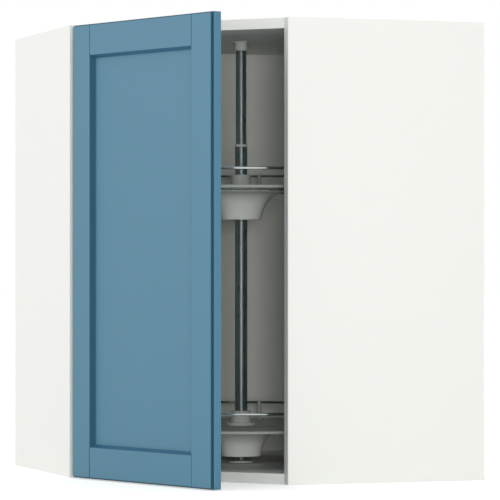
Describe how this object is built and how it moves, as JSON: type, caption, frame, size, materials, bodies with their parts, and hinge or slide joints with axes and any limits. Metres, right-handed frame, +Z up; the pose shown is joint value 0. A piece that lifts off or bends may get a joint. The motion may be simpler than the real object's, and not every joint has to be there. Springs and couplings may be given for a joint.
{
  "type": "corner carousel cabinet",
  "caption": "Corner wall cabinet with a hinged framed door set diagonally across the corner and round trays with wire rails that turn on an upright pole.",
  "frame": {"origin": "on the carousel pole's axis, level with the cabinet's underside", "axes": "+Z up; the room's walls stand on the -X side and on the +Y side; the door faces +X and -Y"},
  "size_m": [0.7518, 0.666, 0.8],
  "materials": {
    "white_foil": "satin white foil",
    "back_foil": "matt white foil on thin board",
    "blue_paint": "satin blue paint on wood fibre board",
    "chrome": "bright chrome plate",
    "steel": "nickel-plated steel",
    "zinc": "zinc-plated steel",
    "grey_plastic": "satin grey plastic",
    "tray_dark": "semi-gloss dark grey plastic",
    "bumper": "clear soft plastic"
  },
  "bodies": {
    "cabinet": {"side_panel_left": "white_foil", "side_panel_right": "white_foil", "top_panel": "white_foil", "bottom_panel": "white_foil", "back_panel_left": "back_foil", "back_panel_right": "back_foil", "back_corner_batten": "white_foil", "hanging_bracket_left": "zinc", "hanging_bracket_right": "zinc", "hinge_plate_lower": "steel", "hinge_arm_lower": "steel", "hinge_arm_screw_lower": "steel", "hinge_cap_lower": "grey_plastic", "hinge_plate_upper": "steel", "hinge_arm_upper": "steel", "hinge_arm_screw_upper": "steel", "hinge_cap_upper": "grey_plastic", "pole_lower_tube": "chrome", "pole_upper_tube": "chrome", "pole_collar": "grey_plastic", "pole_lock_screw": "steel", "pole_foot": "grey_plastic", "pole_foot_screw": "steel", "pole_top_fitting": "grey_plastic", "thrust_washer_lower": "grey_plastic", "height_ring_lower": "grey_plastic", "height_ring_screw_lower": "steel", "thrust_washer_upper": "grey_plastic", "height_ring_upper": "grey_plastic", "height_ring_screw_upper": "steel"},
    "door": {"door_stile_hinge": "blue_paint", "door_stile_free": "blue_paint", "door_rail_top": "blue_paint", "door_rail_bottom": "blue_paint", "door_panel": "blue_paint", "door_bumper_bottom": "bumper", "door_bumper_top": "bumper", "hinge_cup_lower": "steel", "hinge_cup_upper": "steel", "hinge_pin_lower": "steel", "hinge_pin_upper": "steel"},
    "lower_tray": {"lower_tray_disc": "tray_dark", "lower_tray_hub": "grey_plastic", "lower_tray_cone": "grey_plastic", "lower_tray_nut": "grey_plastic", "lower_tray_rail": "chrome", "lower_tray_post_1": "grey_plastic", "lower_tray_post_2": "grey_plastic", "lower_tray_post_3": "grey_plastic"},
    "upper_tray": {"upper_tray_disc": "tray_dark", "upper_tray_hub": "grey_plastic", "upper_tray_cone": "grey_plastic", "upper_tray_nut": "grey_plastic", "upper_tray_rail": "chrome", "upper_tray_post_1": "grey_plastic", "upper_tray_post_2": "grey_plastic", "upper_tray_post_3": "grey_plastic"}
  },
  "joints": [
    {"name": "door_hinge", "type": "hinge", "parent": "cabinet", "child": "door", "pos_m": [0.05049, -0.31848, 0.4], "axis": [0, 0, -1], "range_deg": [-25.6, 69.4]},
    {"name": "lower_tray_spin", "type": "hinge", "parent": "cabinet", "child": "lower_tray", "pos_m": [0, 0, 0.085], "axis": [0, 0, 1], "continuous": true},
    {"name": "upper_tray_spin", "type": "hinge", "parent": "cabinet", "child": "upper_tray", "pos_m": [0, 0, 0.513], "axis": [0, 0, 1], "continuous": true}
  ]
}
